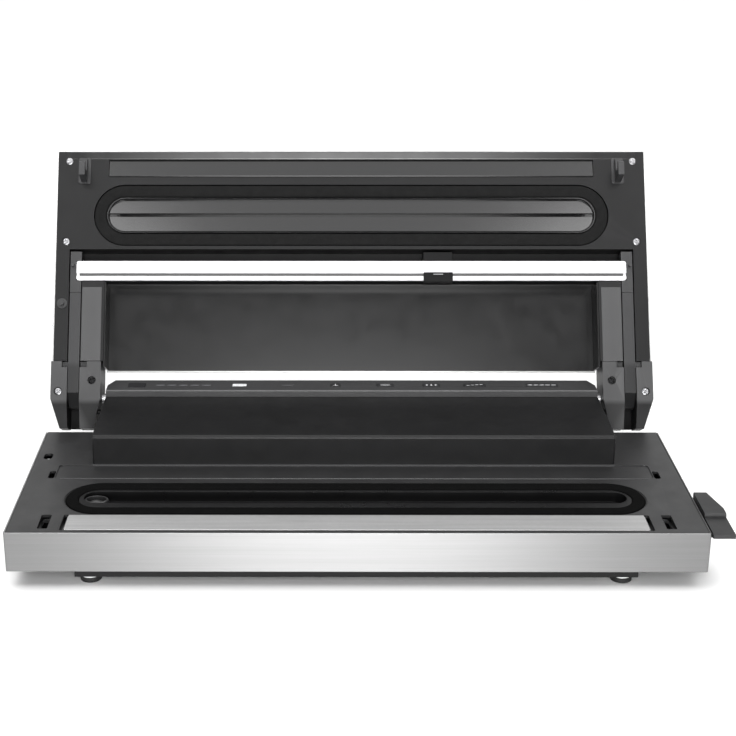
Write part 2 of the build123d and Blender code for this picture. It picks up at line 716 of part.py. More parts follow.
for side, name in ((-1, "left"), (1, "right")):
    start = min(side * block_inner, side * block_outer)
    with BuildPart() as block:
        with BuildSketch(lid_side(start)) as block_profile:
            with BuildLine():
                Polyline(
                    (block_front, lid_gap),
                    (210, lid_gap),
                    (block_back, 9),
                    (block_back, lid_top),
                    (block_front, lid_top),
                    close=True,
                )
            make_face()
            fillet(block_profile.vertices().sort_by(Axis.X).sort_by(Axis.Y)[-1], 5)
        extrude(amount=block_outer - block_inner)
        # both sides taper towards the back
        for edge_x, end_x in ((block_inner, 211.0), (block_outer, 238.0)):
            outside = edge_x - 2 if edge_x < end_x else edge_x + 2
            with BuildSketch(lid):
                with BuildLine():
                    Polyline(
                        (side * edge_x, 208),
                        (side * end_x, block_back + 1),
                        (side * outside, block_back + 1),
                        (side * outside, 208),
                        close=True,
                    )
                make_face()
            extrude(amount=40, mode=Mode.SUBTRACT)
        # slot for the cutter arm, open below
        slot_x = sorted((side * (arm_x - slot_edge), side * (arm_x + slot_edge)))
        box_on(lid, slot_x, (170, 240), 0, 27.4, Mode.SUBTRACT)
        for low_x, high_x in ((216.0, arm_x - slot_edge), (arm_x + slot_edge, 236.5)):
            notch_x = sorted((side * low_x, side * high_x))
            box_on(lid, notch_x, (170, 182.3), 0, 6, Mode.SUBTRACT)
        # tongue that is screwed under the lid cover
        tongue_x = sorted((side * 206, side * 219))
        box_on(lid, tongue_x, (162, block_front + 1), 22.5, 27.5)
        bore_start = side * (block_inner - 5) if side > 0 else -pin_end - 0.5
        bore_length = pin_end + 0.5 - block_inner + 5
        rod_across(lid_side(bore_start), hinge_y, hinge_rise, pin_radius + fit, bore_length, Mode.SUBTRACT)
        peg_start = block_inner - stop_length if side > 0 else -block_inner - stop_root
        rod_across(lid_side(peg_start), *stop_peg, stop_radius, stop_length + stop_root)
        for (x, y), seat in zip(hinge_screw_places, screw_seats):
            disc_on(lid, [(side * x, y)], 3.4, 0, seat, Mode.SUBTRACT)
    save(block.part, f"hinge_block_{name}")

with BuildPart() as hinge_screws:
    # heads at the bottom of their bores, shallow outside and deep inside
    for (x, y), seat in zip(hinge_screw_places, screw_seats):
        disc_on(lid, [(-x, y), (x, y)], 2.9, seat - 0.7, seat)
        disc_on(lid, [(-x, y), (x, y)], 1.0, seat - 1, seat - 0.4, Mode.SUBTRACT)
save(hinge_screws.part, "hinge_screws")

# ---------------------------------------------------------------- film cutter
hub_radius = 9.3
holder_back = 120.0
peg_offset = 2.5
for side, name in ((-1, "left"), (1, "right")):
    start = side * arm_x - arm_width / 2
    with BuildPart() as arm:
        with BuildSketch(lid_side(start)):
            with BuildLine():
                Polyline(
                    (holder_back + 0.2, 2),
                    (203, 2),
                    (214, 12),
                    (206, 20),
                    (190, 9),
                    (holder_back + 0.2, 9),
                    close=True,
                )
            make_face()
            with Locations((hinge_y, hinge_rise)):
                Circle(hub_radius)
                Circle(pin_radius + fit, mode=Mode.SUBTRACT)
        extrude(amount=arm_width)
    save(arm.part, f"cutter_arm_{name}")

with BuildPart() as rail_holders:
    for side in (-1, 1):
        holder_x = sorted((side * (arm_x - arm_width / 2), side * (arm_x + arm_width / 2)))
        seat_x = sorted((side * 200, side * (rail_half + 0.1)))
        box_on(lid, holder_x, (86, holder_back), 2, 10.5)
        box_on(lid, seat_x, (rail_front - 0.1, rail_back + 0.1), 1, rail_top, Mode.SUBTRACT)
        disc_on(lid, [(side * (arm_x + peg_offset), 97.5)], 1.4, -1.2, 2)
save(rail_holders.part, "rail_holders")

groove_y = (104.0, 106.5)
groove_floor = 3.4
blade_y = (105.0, 105.5)
with BuildPart() as cutter_rail:
    box_on(lid, (-rail_half, rail_half), (rail_front, rail_back), rail_bottom, rail_top, corner=2)
    box_on(lid, (-230, 230), groove_y, rail_bottom - 1, groove_floor, Mode.SUBTRACT)
save(cutter_rail.part, "cutter_rail")

slider_span = (slider_x - slider_width / 2, slider_x + slider_width / 2)
slider_front = 86.3
clip_gap = 0.25
clip_back = 111.5
with BuildPart() as cutter_slider:
    box_on(lid, slider_span, (slider_front, 109.6), rail_top + clip_gap, 17)
    fillet(cutter_slider.faces().sort_by(lid_up)[-1].edges(), 2.5)
    box_on(lid, slider_span, (slider_front, rail_front - clip_gap), rail_bottom + clip_gap, rail_top + 0.5)
    # clip round the rail's rear edge, with the blade's foot over the groove
    box_on(lid, slider_span, (100, clip_back), rail_top + clip_gap, 9.4)
    box_on(lid, slider_span, (rail_back + clip_gap, clip_back), -0.2, rail_top + 0.5)
    box_on(lid, slider_span, (103.6, clip_back), -0.2, rail_bottom - clip_gap)
    box_on(lid, (slider_x - 4, slider_x + 4), blade_y, -1, 5, Mode.SUBTRACT)
save(cutter_slider.part, "cutter_slider")

with BuildPart() as cutter_blade:
    with BuildSketch(Plane(lid.from_local_coords((0, blade_y[0], 0)), x_dir=(1, 0, 0), z_dir=lid.y_dir)):
        with BuildLine():
            Polyline(
                (slider_x - 4, 0.2),
                (slider_x + 4, 0.2),
                (slider_x + 4, -1.9),
                (slider_x, -3.0),
                (slider_x - 4, -1.9),
                close=True,
            )
        make_face()
    extrude(amount=blade_y[1] - blade_y[0])
save(cutter_blade.part, "cutter_blade")
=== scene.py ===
import json
import math

import bmesh
import bpy
from mathutils import Matrix, Vector


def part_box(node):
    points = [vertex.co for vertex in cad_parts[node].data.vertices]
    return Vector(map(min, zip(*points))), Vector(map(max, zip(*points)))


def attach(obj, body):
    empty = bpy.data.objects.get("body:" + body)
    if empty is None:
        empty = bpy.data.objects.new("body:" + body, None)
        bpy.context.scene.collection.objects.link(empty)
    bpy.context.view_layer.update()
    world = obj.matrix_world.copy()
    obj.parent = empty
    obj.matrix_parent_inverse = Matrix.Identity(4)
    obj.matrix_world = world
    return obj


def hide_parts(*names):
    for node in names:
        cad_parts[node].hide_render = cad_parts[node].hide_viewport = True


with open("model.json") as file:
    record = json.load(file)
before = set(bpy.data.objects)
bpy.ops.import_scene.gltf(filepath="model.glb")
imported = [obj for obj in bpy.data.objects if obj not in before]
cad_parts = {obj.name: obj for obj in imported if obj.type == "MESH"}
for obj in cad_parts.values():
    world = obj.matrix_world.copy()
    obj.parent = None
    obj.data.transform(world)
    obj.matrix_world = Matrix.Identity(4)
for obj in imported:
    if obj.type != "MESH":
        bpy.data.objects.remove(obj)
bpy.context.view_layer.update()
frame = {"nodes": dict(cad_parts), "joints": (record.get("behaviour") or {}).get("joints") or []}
nodes = frame["nodes"]
scene = bpy.context.scene
MM = 0.001

# ------------------------------------------------------------------ where things are, mm
# Positions are given as (x, y, h): y back from the base's front edge, h over the deck.
# Lid pieces use the same three numbers as they are when the lid is shut.
band_low, band_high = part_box("steel_band")
FRONT_Y = band_low.y / MM
DECK = band_high.z / MM
lid_joint = next(j for j in frame["joints"] if j["name"] == "lid_hinge")
HINGE = Vector(lid_joint["pos_m"]) / MM
OPEN = math.radians(lid_joint["range_deg"][0])


def base_point(x, y, h):
    """A place on the base, in metres."""
    return Vector((x, FRONT_Y + y, DECK + h)) * MM


def lid_point(x, y, h):
    """A place on the lid as it stands open at rest, in metres."""
    turned = Matrix.Rotation(OPEN, 3, "X") @ (Vector((x, FRONT_Y + y, DECK + h)) - HINGE)
    return (HINGE + turned) * MM


# ------------------------------------------------------------------ materials
class Finish:
    """A procedural material; every texture is laid out in metres on the row frame."""

    WAVE_PERIOD = 0.314  # the wave texture's own period at scale 1, in its units

    def __init__(self, name, rough, metallic=0.0, specular=0.5):
        self.material = bpy.data.materials.new(name)
        self.material.use_nodes = True
        self.tree = self.material.node_tree
        self.shader = self.tree.nodes["Principled BSDF"]
        self.shader.inputs["Metallic"].default_value = metallic
        self.shader.inputs["Specular IOR Level"].default_value = specular
        self.shader.inputs["Roughness"].default_value = rough
        self.place = self.tree.nodes.new("ShaderNodeTexCoord").outputs["Object"]
        self.height = None

    def link(self, out, into):
        self.tree.links.new(out, into)

    def stretched(self, scale):
        node = self.tree.nodes.new("ShaderNodeMapping")
        node.inputs["Scale"].default_value = scale
        self.link(self.place, node.inputs["Vector"])
        return node.outputs["Vector"]

    def noise(self, scale, detail=3.0, rough=0.55):
        node = self.tree.nodes.new("ShaderNodeTexNoise")
        node.inputs["Scale"].default_value = 1.0
        node.inputs["Detail"].default_value = detail
        node.inputs["Roughness"].default_value = rough
        self.link(self.stretched(scale), node.inputs["Vector"])
        return node.outputs["Fac"]

    def cells(self, size):
        node = self.tree.nodes.new("ShaderNodeTexVoronoi")
        node.inputs["Scale"].default_value = 1.0
        self.link(self.stretched((1 / size,) * 3), node.inputs["Vector"])
        return node.outputs["Distance"]

    def bands(self, axis, size):
        node = self.tree.nodes.new("ShaderNodeTexWave")
        node.bands_direction = axis
        node.inputs["Scale"].default_value = 1.0
        self.link(self.stretched((self.WAVE_PERIOD / size,) * 3), node.inputs["Vector"])
        return node.outputs["Fac"]

    def remap(self, value, low, high, from_low=0.3, from_high=0.7):
        node = self.tree.nodes.new("ShaderNodeMapRange")
        node.inputs["From Min"].default_value = from_low
        node.inputs["From Max"].default_value = from_high
        node.inputs["To Min"].default_value = low
        node.inputs["To Max"].default_value = high
        self.link(value, node.inputs["Value"])
        return node.outputs["Result"]

    def mix(self, factor, first, second):
        node = self.tree.nodes.new("ShaderNodeMix")
        node.data_type = "RGBA"
        self.link(factor, node.inputs["Factor"])
        # sockets 6 and 7 are the node's two colour inputs
        for socket, colour in ((node.inputs[6], first), (node.inputs[7], second)):
            if isinstance(colour, bpy.types.NodeSocket):
                self.link(colour, socket)
            else:
                socket.default_value = (*colour, 1.0)
        return node.outputs[2]

    def bump(self, value, strength, depth):
        node = self.tree.nodes.new("ShaderNodeBump")
        node.inputs["Strength"].default_value = strength
        node.inputs["Distance"].default_value = depth
        self.link(value, node.inputs["Height"])
        if self.height is not None:
            self.link(self.height, node.inputs["Normal"])
        self.height = node.outputs["Normal"]
        self.link(self.height, self.shader.inputs["Normal"])

    def colour(self, socket):
        self.link(socket, self.shader.inputs["Base Color"])

    def roughness(self, socket):
        self.link(socket, self.shader.inputs["Roughness"])

    def worn(self, colour, edge):
        """Edges rub a little paler."""
        geometry = self.tree.nodes.new("ShaderNodeNewGeometry")
        flat, sharp = 0.52, 0.62
        factor = self.remap(geometry.outputs["Pointiness"], 0.0, 0.5, flat, sharp)
        return self.mix(factor, colour, edge)


def scaled(colour, k):
    """The same colour, k times as bright."""
    return tuple(min(1.0, c * k) for c in colour)


SHADE_FADE = 0.002  # half the height, in metres, over which the painted shade fades out
# colour of the painted shade on the hinge blocks' lower ends and on the arms' hubs inside the block
# slots
PAINTED_SHADE = (0.004, 0.004, 0.0042)


def plastic(name, colour, rough, grain=0.0005, depth=0.00003, specular=0.5, painted_shade_below=None):
    """Moulded plastic; below the height, in metres, given as the last argument, a painted shade
    darkens the colour.
    """
    f = Finish(name, rough, specular=specular)
    cloud = f.noise((14, 14, 14), 4)
    tone = f.mix(f.remap(cloud, 0, 1), scaled(colour, 0.88), scaled(colour, 1.12))
    if painted_shade_below is not None:
        # painted shade: the colour turns dark under the given height, where the parts get no light
        parts = f.tree.nodes.new("ShaderNodeSeparateXYZ")
        f.link(f.place, parts.inputs["Vector"])
        height = f.remap(parts.outputs["Z"], 0, 1, painted_shade_below - SHADE_FADE, painted_shade_below + SHADE_FADE)
        tone = f.mix(height, PAINTED_SHADE, tone)
    f.colour(f.worn(tone, scaled(colour, 1.7)))
    f.roughness(f.remap(f.noise((60, 60, 60), 5), rough * 0.88, rough * 1.14))
    f.bump(f.noise((1 / grain,) * 3, 2), 0.35, depth)
    return f.material


def brushed(name, colour, rough, anisotropy=0.6, lines=2600.0, depth=0.000012):
    """Metal brushed along X: fine hairs in height, colour and roughness, a stretched highlight."""
    f = Finish(name, rough, metallic=1.0)
    hair = f.noise((7, lines, lines), 4, 0.7)
    broad = f.noise((3, 160, 160), 3)
    tone = f.mix(f.remap(broad, 0, 1), scaled(colour, 0.95), scaled(colour, 1.04))
    f.colour(f.mix(f.remap(hair, 0, 0.35), tone, scaled(colour, 0.8)))
    f.roughness(f.remap(hair, rough * 0.82, rough * 1.22))
    f.bump(hair, 0.25, depth)
    f.shader.inputs["Anisotropic"].default_value = anisotropy
    across = f.tree.nodes.new("ShaderNodeCombineXYZ")
    # square to the hairs on upright and on level faces alike
    across.inputs["Y"].default_value = 0.6
    across.inputs["Z"].default_value = 0.8
    f.link(across.outputs["Vector"], f.shader.inputs["Tangent"])
    return f.material


def metal(name, colour, rough, depth=0.00002):
    """Plain metal with a faint cloud and grain."""
    f = Finish(name, rough, metallic=1.0)
    cloud = f.noise((90, 90, 90), 5)
    f.colour(f.mix(f.remap(cloud, 0, 1), scaled(colour, 0.86), scaled(colour, 1.08)))
    f.roughness(f.remap(f.noise((700, 700, 700), 3), rough * 0.8, rough * 1.25))
    f.bump(f.noise((1500, 1500, 1500), 3), 0.2, depth)
    return f.material


def foam(name, colour, specular=0.2):
    """Closed-cell foam with small pores."""
    f = Finish(name, 0.93, specular=specular)
    pores = f.cells(0.00055)
    f.colour(f.mix(f.remap(pores, 0, 1, 0.1, 0.8), scaled(colour, 0.45), scaled(colour, 1.25)))
    f.roughness(f.remap(f.noise((200, 200, 200)), 0.86, 0.98))
    f.bump(pores, 0.5, 0.00014)
    f.bump(f.noise((900, 900, 900), 4), 0.4, 0.0001)
    return f.material


def rubber(name, colour, rough, depth=0.00002):
    """Rubber, silicone or ink, streaked a little along X."""
    f = Finish(name, rough, specular=0.45)
    cloud = f.noise((120, 900, 900), 4)
    f.colour(f.mix(f.remap(cloud, 0, 1), scaled(colour, 0.9), scaled(colour, 1.1)))
    f.roughness(f.remap(f.noise((300, 300, 300), 4), rough * 0.86, rough * 1.12))
    f.bump(f.noise((2200, 2200, 2200), 2), 0.25, depth)
    return f.material


def woven(name, colour):
    """Coated cloth tape with a fine weave."""
    thread = 0.0009
    f = Finish(name, 0.42, metallic=0.55)
    warp = f.bands("X", thread)
    weft = f.bands("Y", thread)
    streak = f.noise((9, 260, 260), 4)
    tone = f.mix(f.remap(streak, 0, 1), scaled(colour, 0.86), scaled(colour, 1.08))
    f.colour(f.mix(f.remap(warp, 0, 0.2, 0, 1), tone, scaled(colour, 0.72)))
    f.roughness(f.remap(f.noise((260, 260, 260), 3), 0.34, 0.5))
    f.bump(warp, 0.2, 0.00003)
    f.bump(weft, 0.2, 0.00003)
    return f.material


def clear(name, colour, rough):
    """Glossy window, lens or coating."""
    f = Finish(name, rough)
    cloud = f.noise((120, 120, 120))
    f.colour(f.mix(f.remap(cloud, 0, 1), scaled(colour, 0.9), scaled(colour, 1.1)))
    f.roughness(f.remap(f.noise((500, 500, 500)), rough * 0.8, rough * 1.3))
    f.shader.inputs["Coat Weight"].default_value = 0.6
    f.shader.inputs["Coat Roughness"].default_value = 0.05
    return f.material


def plain_floor(name):
    """Pale studio floor."""
    f = Finish(name, 0.85, specular=0.1)
    f.colour(f.mix(f.remap(f.noise((3, 3, 3)), 0, 1), (0.93, 0.93, 0.93), (0.95, 0.95, 0.95)))
    return f.material


looks = {
    "deck": plastic("deck_plastic", (0.013, 0.013, 0.0135), 0.4),
    "cover": plastic("cover_plastic", (0.0065, 0.0065, 0.0068), 0.4, specular=0.22),
    "housing": plastic(
        "housing_plastic", (0.004, 0.004, 0.0043), 0.5, 0.0008, 0.00006, specular=0.25
    ),
    "lid_inside": plastic("lid_plastic", (0.007, 0.007, 0.0073), 0.42, specular=0.22),
    "recess": plastic(
        "recess_plastic", (0.0045, 0.0045, 0.0047), 0.24, 0.0004, 0.000003, specular=0.36
    ),
    "trough": plastic(
        "trough_plastic", (0.004, 0.004, 0.0042), 0.3, 0.0006, 0.00002, specular=0.3
    ),
    "panel": plastic("panel_plastic", (0.036, 0.036, 0.037), 0.34, 0.0006, 0.00001),
    "fittings": plastic("fitting_plastic", (0.016, 0.016, 0.017), 0.45),
    "gloss": plastic(
        "gloss_plastic", (0.003, 0.003, 0.0032), 0.5, 0.0007, 0.000008, specular=0.15
    ),
    # painted shade below these heights: the arms inside the block slots and the blocks' lower ends
    "arms": plastic("arm_plastic", (0.026, 0.026, 0.027), 0.42, specular=0.3, painted_shade_below=0.094),
    "blocks": plastic("block_plastic", (0.062, 0.062, 0.063), 0.42, specular=0.1, painted_shade_below=0.067),
    "light": plastic("light_plastic", (0.72, 0.73, 0.74), 0.4),
    "lip": plastic("lip_plastic", (0.008, 0.008, 0.0084), 0.24, 0.0006, 0.000004),
    "ribs": plastic("rib_plastic", (0.032, 0.032, 0.033), 0.42),
    "insert": plastic("insert_plastic", (0.005, 0.005, 0.0053), 0.16, 0.0006, 0.000003),
    "steel": brushed("brushed_steel", (0.25, 0.25, 0.25), 0.4, 0.92),
    "lid_steel": brushed("lid_steel", (0.46, 0.46, 0.46), 0.34),
    "rail": brushed("rail_aluminium", (0.66, 0.66, 0.67), 0.32, 0.4, 1800.0),
    # dark metal standing in for the shade inside the rail's groove: painted shade
    "groove": brushed("groove_painted_shade", (0.1, 0.1, 0.1), 0.5, 0.4, 1800.0),
    "port": plastic("port_plastic", (0.022, 0.022, 0.0225), 0.34),
    # painted shade for screw heads that sit deep in their bores
    "bore_shaded_screw": metal("screw_steel_bore_shade", (0.03, 0.03, 0.031), 0.45),
    "bar": brushed("bar_aluminium", (0.36, 0.36, 0.36), 0.4, 0.8, 1800.0),
    "parts": metal("zinc_parts", (0.55, 0.55, 0.56), 0.38),
    "screw": metal("screw_steel", (0.3, 0.3, 0.31), 0.3),
    "iron": metal("core_iron", (0.16, 0.16, 0.17), 0.6, 0.00008),
    "copper": metal("winding_copper", (0.72, 0.32, 0.14), 0.34, 0.0001),
    "nichrome": metal("heating_wire", (0.5, 0.46, 0.42), 0.4),
    "foam": foam("gasket_foam", (0.0068, 0.0068, 0.0068)),
    "foam_below": foam("lower_gasket_foam", (0.0026, 0.0026, 0.0026), 0.06),
    "lever": plastic("lever_plastic", (0.014, 0.014, 0.0145), 0.46, specular=0.4),
    "silicone": rubber("silicone", (0.007, 0.007, 0.0073), 0.18, depth=0.000003),
    "foot": rubber("foot_rubber", (0.012, 0.012, 0.012), 0.7),
    "hose": rubber("hose_silicone", (0.62, 0.64, 0.62), 0.35),
    "tape": woven("release_tape", (0.42, 0.42, 0.42)),
    "screen": clear("screen_window", (0.006, 0.006, 0.008), 0.08),
    "pale": plastic("pale_plastic", (0.6, 0.61, 0.62), 0.5),
    "lens": clear("indicator_lens", (0.86, 0.87, 0.88), 0.25),
    "board": clear("board_coating", (0.01, 0.12, 0.04), 0.3),
    "print": rubber("print_ink", (0.42, 0.42, 0.43), 0.6),
    "faint_print": rubber("faint_print_ink", (0.09, 0.09, 0.095), 0.6),
}

look_of = {
    "deck_plate": "deck", "machine_cover": "cover", "lower_housing": "housing",
    "control_panel": "panel", "steel_band": "steel", "display_window": "screen",
    "indicator_lens": "lens", "circuit_board": "board", "drip_tray": "trough",
    "suction_port": "port", "seal_bar": "bar", "heating_wires": "nichrome",
    "release_tape": "tape", "latch_shaft": "parts", "latch_plate": "parts",
    "lever_spring": "parts", "lever": "lever", "switch_plunger": "light",
    "pump_motor": "parts", "pump_shaft": "parts", "vacuum_hose": "hose",
    "transformer_core": "iron", "transformer_coil": "copper", "hinge_brackets": "parts",
    "hinge_pins": "parts", "foot_collars": "light", "foot_pads": "foot",
    "housing_screws": "screw", "cord_gland": "foot", "lid_cover": "lid_steel",
    "lid_inner_panel": "lid_inside", "recess_liner": "recess", "chamber_insert": "insert",
    "hinge_block_left": "blocks", "hinge_block_right": "blocks", "cutter_arm_left": "arms",
    "cutter_arm_right": "arms", "cutter_rail": "rail", "cutter_slider": "gloss",
    "cutter_blade": "parts", "lid_screws": "screw", "hinge_screws": "screw", "lid_grips": "pale",
    "lower_gasket": "foam_below", "upper_gasket": "foam", "pressing_strip": "silicone",
}


# ------------------------------------------------------------------ softened edges of CAD pieces
WELD_DISTANCE = 0.000004  # metres
SMALL_EDGE = 0.25  # mm
BEVEL_FROM = 32  # degrees between faces


def smooth_group():
    """Node group that joins the split corners of a CAD mesh and shades it smooth."""
    group = bpy.data.node_groups.new("weld_and_smooth", "GeometryNodeTree")
    group.interface.new_socket("Geometry", in_out="INPUT", socket_type="NodeSocketGeometry")
    group.interface.new_socket("Geometry", in_out="OUTPUT", socket_type="NodeSocketGeometry")
    start = group.nodes.new("NodeGroupInput")
    weld = group.nodes.new("GeometryNodeMergeByDistance")
    weld.inputs["Distance"].default_value = WELD_DISTANCE
    smooth = group.nodes.new("GeometryNodeSetShadeSmooth")
    end = group.nodes.new("NodeGroupOutput")
    group.links.new(start.outputs[0], weld.inputs["Geometry"])
    group.links.new(weld.outputs["Geometry"], smooth.inputs["Geometry"])
    group.links.new(smooth.outputs["Geometry"], end.inputs[0])
    return group


SMOOTH = smooth_group()
edge_width = {
    "steel_band": 0.5, "lid_cover": 0.35, "lever": 0.9, "hinge_block_left": 0.9,
    "hinge_block_right": 0.9, "machine_cover": 0.5, "cutter_slider": 0.5, "lid_inner_panel": 0.3,
    "deck_plate": 0.35, "cutter_arm_left": 0.5, "cutter_arm_right": 0.5, "lid_grips": 0.4,
    "cutter_rail": 0.45, "foot_pads": 0.8, "chamber_insert": 0.35, "latch_hooks": 0.4,
}


def soften(obj, width):
    """Round the sharp edges of a piece by width mm, and keep its flat faces flat."""
    weld = obj.modifiers.new("weld", "NODES")
    weld.node_group = SMOOTH
    bevel = obj.modifiers.new("edges", "BEVEL")
    bevel.width = width * MM
    bevel.segments = 2
    bevel.limit_method = "ANGLE"
    bevel.angle_limit = math.radians(BEVEL_FROM)
    bevel.miter_outer = "MITER_ARC"
    weighted = obj.modifiers.new("normals", "WEIGHTED_NORMAL")
    weighted.weight = 70


for name, node in nodes.items():
    node.data.materials.clear()
    node.data.materials.append(looks[look_of.get(name, "fittings")])
    soften(node, edge_width.get(name, SMALL_EDGE))


# ------------------------------------------------------------------ building pieces
def piece(name, verts, faces, look, body, slot, replaces=(), smooth=True):
    """One new piece from its mesh, riding on a body."""
    mesh = bpy.data.meshes.new(name)
    mesh.from_pydata([tuple(v) for v in verts], [], faces)
    mesh.validate()
    work = bmesh.new()
    work.from_mesh(mesh)
    bmesh.ops.recalc_face_normals(work, faces=work.faces)
    work.to_mesh(mesh)
    work.free()
    if smooth:
        mesh.shade_smooth()
    mesh.materials.append(looks[look])
    obj = bpy.data.objects.new(name, mesh)
    scene.collection.objects.link(obj)
    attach(obj, body)
    if replaces:
        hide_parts(*replaces)
    return obj


def stadium(half, half_depth, y, count=40):
    """Points and outward directions round a round-ended ring."""
    run = half - half_depth
    loop = []
    for end in (1, -1):
        for i in range(count + 1):
            a = -math.pi / 2 + math.pi * i / count
            out = (end * math.cos(a), end * math.sin(a))
            loop.append(((end * run + half_depth * out[0], y + half_depth * out[1]), out))
    return loop


def rounded_section(width, low, high, radius, corner=5):
    """A closed section (across, height) with rounded corners."""
    section = []
    corners = (
        (-width / 2 + radius, low + radius, math.pi),
        (width / 2 - radius, low + radius, 1.5 * math.pi),
        (width / 2 - radius, high - radius, 0.0),
        (-width / 2 + radius, high - radius, 0.5 * math.pi),
    )
    for cx, cy, start in corners:
        for i in range(corner + 1):
            a = start + 0.5 * math.pi * i / corner
            section.append((cx + radius * math.cos(a), cy + radius * math.sin(a)))
    return section


def ring(name, point, half, half_depth, y, section, look, body, **extra):
    """A section swept round the stadium."""
    loop = stadium(half, half_depth, y)
    verts, faces, n, m = [], [], len(loop), len(section)
    for (x, yy), out in loop:
        verts += [point(x + out[0] * a, yy + out[1] * a, h) for a, h in section]
    for i in range(n):
        for j in range(m):
            k, l = (i + 1) % n, (j + 1) % m
            faces.append((i * m + j, k * m + j, k * m + l, i * m + l))
    return piece(name, verts, faces, look, body, **extra)


def extruded(name, point, low_x, high_x, y, section, look, body, steps=2, **extra):
    """A bar along X with the given section (across, height)."""
    m = len(section)
    verts = []
    for i in range(steps + 1):
        x = low_x + (high_x - low_x) * i / steps
        verts += [point(x, y + a, h) for a, h in section]
    faces = [
        (i * m + j, i * m + (j + 1) % m, (i + 1) * m + (j + 1) % m, (i + 1) * m + j)
        for i in range(steps)
        for j in range(m)
    ]
    faces += [tuple(range(m)), tuple(range(steps * m, steps * m + m))]
    return piece(name, verts, faces, look, body, **extra)


# foam gaskets; both rings have their middle at RING_Y, and so has the insert inside the upper one
RING_Y = 55.2
lower = ring(
    "lower_foam_ring", base_point, 207.1, 20.1, RING_Y,
    rounded_section(9.4, -4.4, 0.9, 1.5), "foam_below", "base",
    replaces=("lower_gasket",), slot="foam",
)
upper = ring(
    "upper_foam_ring", lid_point, 207.5, 20.5, RING_Y,
    rounded_section(9.8, 1.4, 6.4, 1.5), "foam", "lid",
    replaces=("upper_gasket",), slot="foam",
)

# silicone strip that presses the bag on the seal bar; its face leans, its rear edge stands proud
extruded(
    "silicone_strip", lid_point, -200.9, 200.9, 15.4,
    [(-6.9, 5.4), (-6.9, 3.2), (-6.5, 2.8), (6.3, 0.95), (6.9, 1.1), (6.9, 5.4)],
    "silicone", "lid", replaces=("pressing_strip",), slot="silicone", smooth=False,
)
# rounded front lip of the inner panel, and the raised ribs beside the recess
extruded(
    "lid_front_lip", lid_point, -236.0, 236.0, 4.4,
    [(-2.9, 1.6), (-2.9, 0.7), (-2.5, 0.45), (2.5, 1.3), (2.9, 1.45), (2.9, 1.6)],
    "lip", "lid", slot="black_shell", smooth=False,
)
for side, end in ((-1, "left"), (1, "right")):
    low_x, high_x = sorted((side * 205.0, side * 221.0))
    extruded(
        f"recess_rib_{end}", lid_point, low_x, high_x, 146.5,
        [(-30.5, 1.6), (-30.5, 0.95), (-30.0, 0.8), (30.0, 0.8), (30.5, 0.95), (30.5, 1.6)],
        "ribs", "lid", slot="black_shell", smooth=False,
    )


INSERT_FLOOR = 4.65  # the bands' hidden side, just inside the insert


def insert_band(name, low_y, high_y, low_h, high_h, half=200.2, half_depth=13.2, count=96):
    """One leaning band of the chamber insert, cut to the insert's round-ended outline."""
    run = half - half_depth
    verts, faces = [], []
    for i in range(count + 1):
        x = -half * math.cos(math.pi * i / count)
        reach = half_depth
        if abs(x) > run:
            reach = math.sqrt(max(0.0, half_depth ** 2 - (abs(x) - run) ** 2))
        near = min(max(low_y, RING_Y - reach), high_y)
        far = max(min(high_y, RING_Y + reach), near)
        for y in (near, far):
            h = low_h + (high_h - low_h) * (y - low_y) / (high_y - low_y)
            verts.append(lid_point(x, y, h))
        verts += [lid_point(x, far, INSERT_FLOOR), lid_point(x, near, INSERT_FLOOR)]
    for i in range(count):
        for j in range(4):
            k = (j + 1) % 4
            faces.append((4 * i + j, 4 * i + k, 4 * i + 4 + k, 4 * i + 4 + j))
    return piece(name, verts, faces, "insert", "lid", slot="black_parts", smooth=False)


insert_band("insert_band_front", 42.0, 53.2, 4.3, 2.9)
insert_band("insert_band_rear", 56.0, 68.4, 4.3, 2.75)


# the cross recess: its arms' length from the middle, half their width, the rise of its floor
# and of its middle over the seat; then the head's rise at its rim, and the dome's over that
CROSS_REACH = 1.9
CROSS_HALF = 0.5
CROSS_FLOOR = 0.12
CROSS_CENTRE = 0.15
HEAD_EDGE = 0.3
HEAD_DOME = 0.4


def cross_heads(name, spots, replaces, radius=2.9, rings=10, count=40):
    """Domed screw heads with a cross recess; each spot is (x, y, seat height, turn in radians)."""
    verts, faces = [], []
    for x, y, seat, turn in spots:
        first = len(verts)
        verts.append(lid_point(x, y, seat - CROSS_CENTRE))
        for i in range(1, rings + 2):
            r = radius * min(i, rings) / rings
            for j in range(count):
                a = 2 * math.pi * j / count
                u, v = r * math.cos(a + turn), r * math.sin(a + turn)
                recess = r < CROSS_REACH and min(abs(u), abs(v)) < CROSS_HALF
                rise = CROSS_FLOOR if recess else HEAD_EDGE + HEAD_DOME * (1 - (r / radius) ** 2)
                if i > rings:
                    rise = 0.0
                verts.append(lid_point(x + r * math.cos(a), y + r * math.sin(a), seat - rise))
        for j in range(count):
            k = (j + 1) % count
            faces.append((first, first + 1 + j, first + 1 + k))
            for i in range(rings):
                low, high = first + 1 + i * count, first + 1 + (i + 1) * count
                faces.append((low + j, high + j, high + k, low + k))
    return piece(name, verts, faces, "screw", "lid", replaces=replaces, slot="bright_screw")


LID_SCREWS = [
    (-234.1, 9.3, 1.5, 0.3), (234.1, 9.3, 1.5, 1.0),
    (-235.5, 77.5, 2.3, 0.7), (235.5, 77.5, 2.3, 0.1),
]
HINGE_SCREWS = [
    (-239.2, 202.0, 3.4, 0.5), (239.2, 202.0, 3.4, 0.9),
    (-211.8, 193.0, 7.0, 0.2), (211.8, 193.0, 7.0, 0.6),
]
cross_heads("lid_screw_heads", LID_SCREWS, ("lid_screws",))
hinge_heads = cross_heads("hinge_screw_heads", HINGE_SCREWS, ("hinge_screws",))
